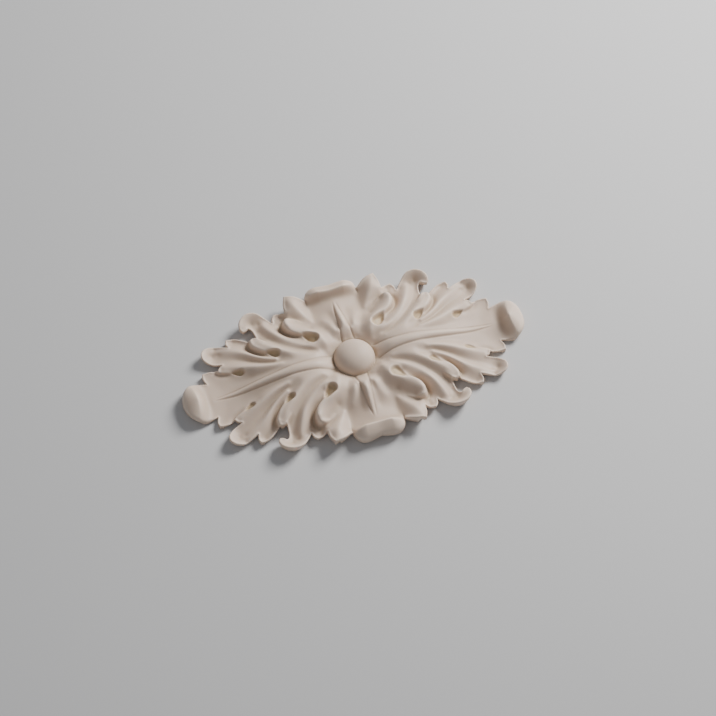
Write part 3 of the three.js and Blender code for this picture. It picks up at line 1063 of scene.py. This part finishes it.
@dataclass(frozen=True)
class CastPlaster:
    """Warm white casting plaster: matt, a little satin, with yellow-brown painted shade in its
    hollows and eyes and a painted highlight on its ridges.
    """

    body: Colour = (0.68, 0.53, 0.415, 1)
    stain: Colour = (0.615, 0.48, 0.385, 1)
    # Painted shade, laid in the face's creases and hollows.
    hollow_shade: Colour = (0.50, 0.385, 0.28, 1)
    # Painted highlight, laid on the ridges and leaf edges that stand proud.
    edge: Colour = (0.79, 0.64, 0.52, 1)
    # Painted shade, dark ochre, laid in the depths of the eyes.
    eye: Colour = (0.54, 0.41, 0.26, 1)
    stain_scale: float = 30.0
    stain_span: Span = (0.3, 0.7)
    smoothest: float = 0.42
    roughest: float = 0.62
    gloss: float = 0.35
    glow: float = 0.1
    glow_depth: float = 0.0025
    glow_reach: tuple[float, float, float] = (1.0, 0.7, 0.4)
    grain_scale: float = 900.0
    grain_depth: float = 0.00006
    grain_strength: float = 0.5

    def material(self, grain: NodeTree) -> Material:
        """Build the plaster.

        Args:
            grain: The shared fine grain group.

        Returns:
            The finished material.
        """
        material = bpy.data.materials.new("cast_plaster")
        material.use_nodes = True
        bench = NodeBench(material.node_tree)
        shader = material.node_tree.nodes["Principled BSDF"]
        bench.set(shader, {"Subsurface Weight": self.glow, "Subsurface Radius": self.glow_reach})
        bench.set(shader, {"Subsurface Scale": self.glow_depth, "Specular IOR Level": self.gloss})
        patches = bench.grain(grain, self.stain_scale)
        colour = bench.add("ShaderNodeMix", data_type="RGBA")
        bench.set(colour, {"A": self.body, "B": self.stain})
        bench.wire(patches, colour.inputs["Factor"])
        # Lay painted shade in the hollows, a painted highlight on the proud ridges and painted
        # shade in the eyes over the colour.
        for mask, tint in (("hollow_shade", self.hollow_shade), ("proud_highlight", self.edge), ("eye", self.eye)):
            colour = self._tint(bench, mask, colour, tint)
        bench.wire(colour.outputs["Result"], shader.inputs["Base Color"])
        polish = bench.add("ShaderNodeMapRange")
        bench.set(polish, {"From Min": self.stain_span[0], "From Max": self.stain_span[1]})
        bench.set(polish, {"To Min": self.smoothest, "To Max": self.roughest})
        bench.wire(patches, polish.inputs["Value"])
        bench.wire(polish.outputs["Result"], shader.inputs["Roughness"])
        fine = bench.grain(grain, self.grain_scale)
        bench.roughen(shader, fine, self.grain_strength, self.grain_depth)
        return material

    def _tint(self, bench: NodeBench, mask: str, under: Node, tint: Colour) -> Node:
        """Mix a tint over the colour under it, where a mask of the mesh is strong."""
        reader = bench.add("ShaderNodeAttribute", attribute_name=mask)
        mix = bench.add("ShaderNodeMix", data_type="RGBA")
        bench.set(mix, {"B": tint})
        bench.wire(under.outputs["Result"], mix.inputs["A"])
        bench.wire(reader.outputs["Fac"], mix.inputs["Factor"])
        return mix


@dataclass(frozen=True)
class PaleFloor:
    """Plain pale floor with a faint grain."""

    colour: Colour = (0.62, 0.615, 0.61, 1)
    roughness: float = 0.8
    grain_scale: float = 700.0
    grain_depth: float = 0.0001
    grain_strength: float = 0.25

    def material(self, grain: NodeTree) -> Material:
        """Build the floor's material.

        Args:
            grain: The shared fine grain group.

        Returns:
            The finished material.
        """
        material = bpy.data.materials.new("pale_floor")
        material.use_nodes = True
        bench = NodeBench(material.node_tree)
        shader = material.node_tree.nodes["Principled BSDF"]
        bench.set(shader, {"Base Color": self.colour, "Roughness": self.roughness})
        fine = bench.grain(grain, self.grain_scale)
        bench.roughen(shader, fine, self.grain_strength, self.grain_depth)
        return material


@dataclass(frozen=True)
class SoftLight:
    """A square soft light that faces the rosette, in degrees, metres and watts."""

    name: str
    azimuth: float
    elevation: float
    size: float
    power: float
    distance: float = 1.6

    def hang(self) -> None:
        """Hang the light."""
        away = direction(self.azimuth, self.elevation)
        lamp = bpy.data.lights.new(self.name, "AREA")
        lamp.shape = "SQUARE"
        lamp.size = self.size
        lamp.energy = self.power
        light = bpy.data.objects.new(self.name, lamp)
        light.location = away * self.distance
        light.rotation_euler = away.to_track_quat("Z", "Y").to_euler()
        bpy.context.scene.collection.objects.link(light)


@dataclass(frozen=True)
class Studio:
    """Floor, soft lights and the camera at the photograph's angle."""

    azimuth: float = -18.85
    elevation: float = 59.93
    roll: float = 1.23
    distance: float = 3.4138
    aim_right: float = 0.00314
    aim_up: float = 0.00546
    lens: float = 203.7
    sensor: float = 36.0
    farthest: float = 20.0
    floor_half: float = 9.0
    sky: Colour = (0.9, 0.93, 1.0, 1)
    sky_strength: float = 0.19
    lights: tuple[SoftLight, ...] = (
        SoftLight("key light", azimuth=118, elevation=35, size=0.6, power=42),
        SoftLight("fill light", azimuth=-50, elevation=55, size=1.6, power=3),
    )

    def lay_floor(self, material: Material) -> None:
        """Lay the floor under the rosette's back."""
        half = self.floor_half
        corners = [(-half, -half, 0), (half, -half, 0), (half, half, 0), (-half, half, 0)]
        mesh = bpy.data.meshes.new("floor")
        mesh.from_pydata(corners, [], [(0, 1, 2, 3)])
        mesh.materials.append(material)
        floor = bpy.data.objects.new("floor", mesh)
        bpy.context.scene.collection.objects.link(floor)

    def light(self) -> None:
        """Hang the lights, and give the room a dim, even light."""
        for lamp in self.lights:
            lamp.hang()
        world = bpy.data.worlds.new("room")
        world.use_nodes = True
        background = world.node_tree.nodes["Background"]
        background.inputs["Color"].default_value = self.sky
        background.inputs["Strength"].default_value = self.sky_strength
        bpy.context.scene.world = world

    def place_camera(self) -> None:
        """Stand the camera where the photograph was taken from."""
        turn = math.radians(self.azimuth)
        roll = math.radians(self.roll)
        back = direction(self.azimuth, self.elevation)
        level = Vector((math.cos(turn), math.sin(turn), 0))
        upright = back.cross(level)
        right = math.cos(roll) * level + math.sin(roll) * upright
        up = math.cos(roll) * upright - math.sin(roll) * level
        aim = right * self.aim_right + up * self.aim_up
        camera = bpy.data.cameras.new("camera")
        camera.lens = self.lens
        camera.sensor_width = self.sensor
        camera.clip_end = self.farthest
        stand = bpy.data.objects.new("camera", camera)
        turned = Matrix((right, up, back)).transposed().to_4x4()
        stand.matrix_world = Matrix.Translation(aim + back * self.distance) @ turned
        bpy.context.scene.collection.objects.link(stand)
        bpy.context.scene.camera = stand


def main() -> None:
    """Build the rosette over its frame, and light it."""
    logging.basicConfig(level=logging.INFO, format="%(message)s")
    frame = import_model()
    LOG.info("frame nodes: %s", ", ".join(frame["nodes"]))
    grain = FineGrain().group()
    rosette = Rosette().build()
    rosette.data.materials.append(CastPlaster().material(grain))
    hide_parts("rosette")
    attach(rosette, "root")
    studio = Studio()
    studio.lay_floor(PaleFloor().material(grain))
    studio.light()
    studio.place_camera()


if __name__ == "__main__":
    main()
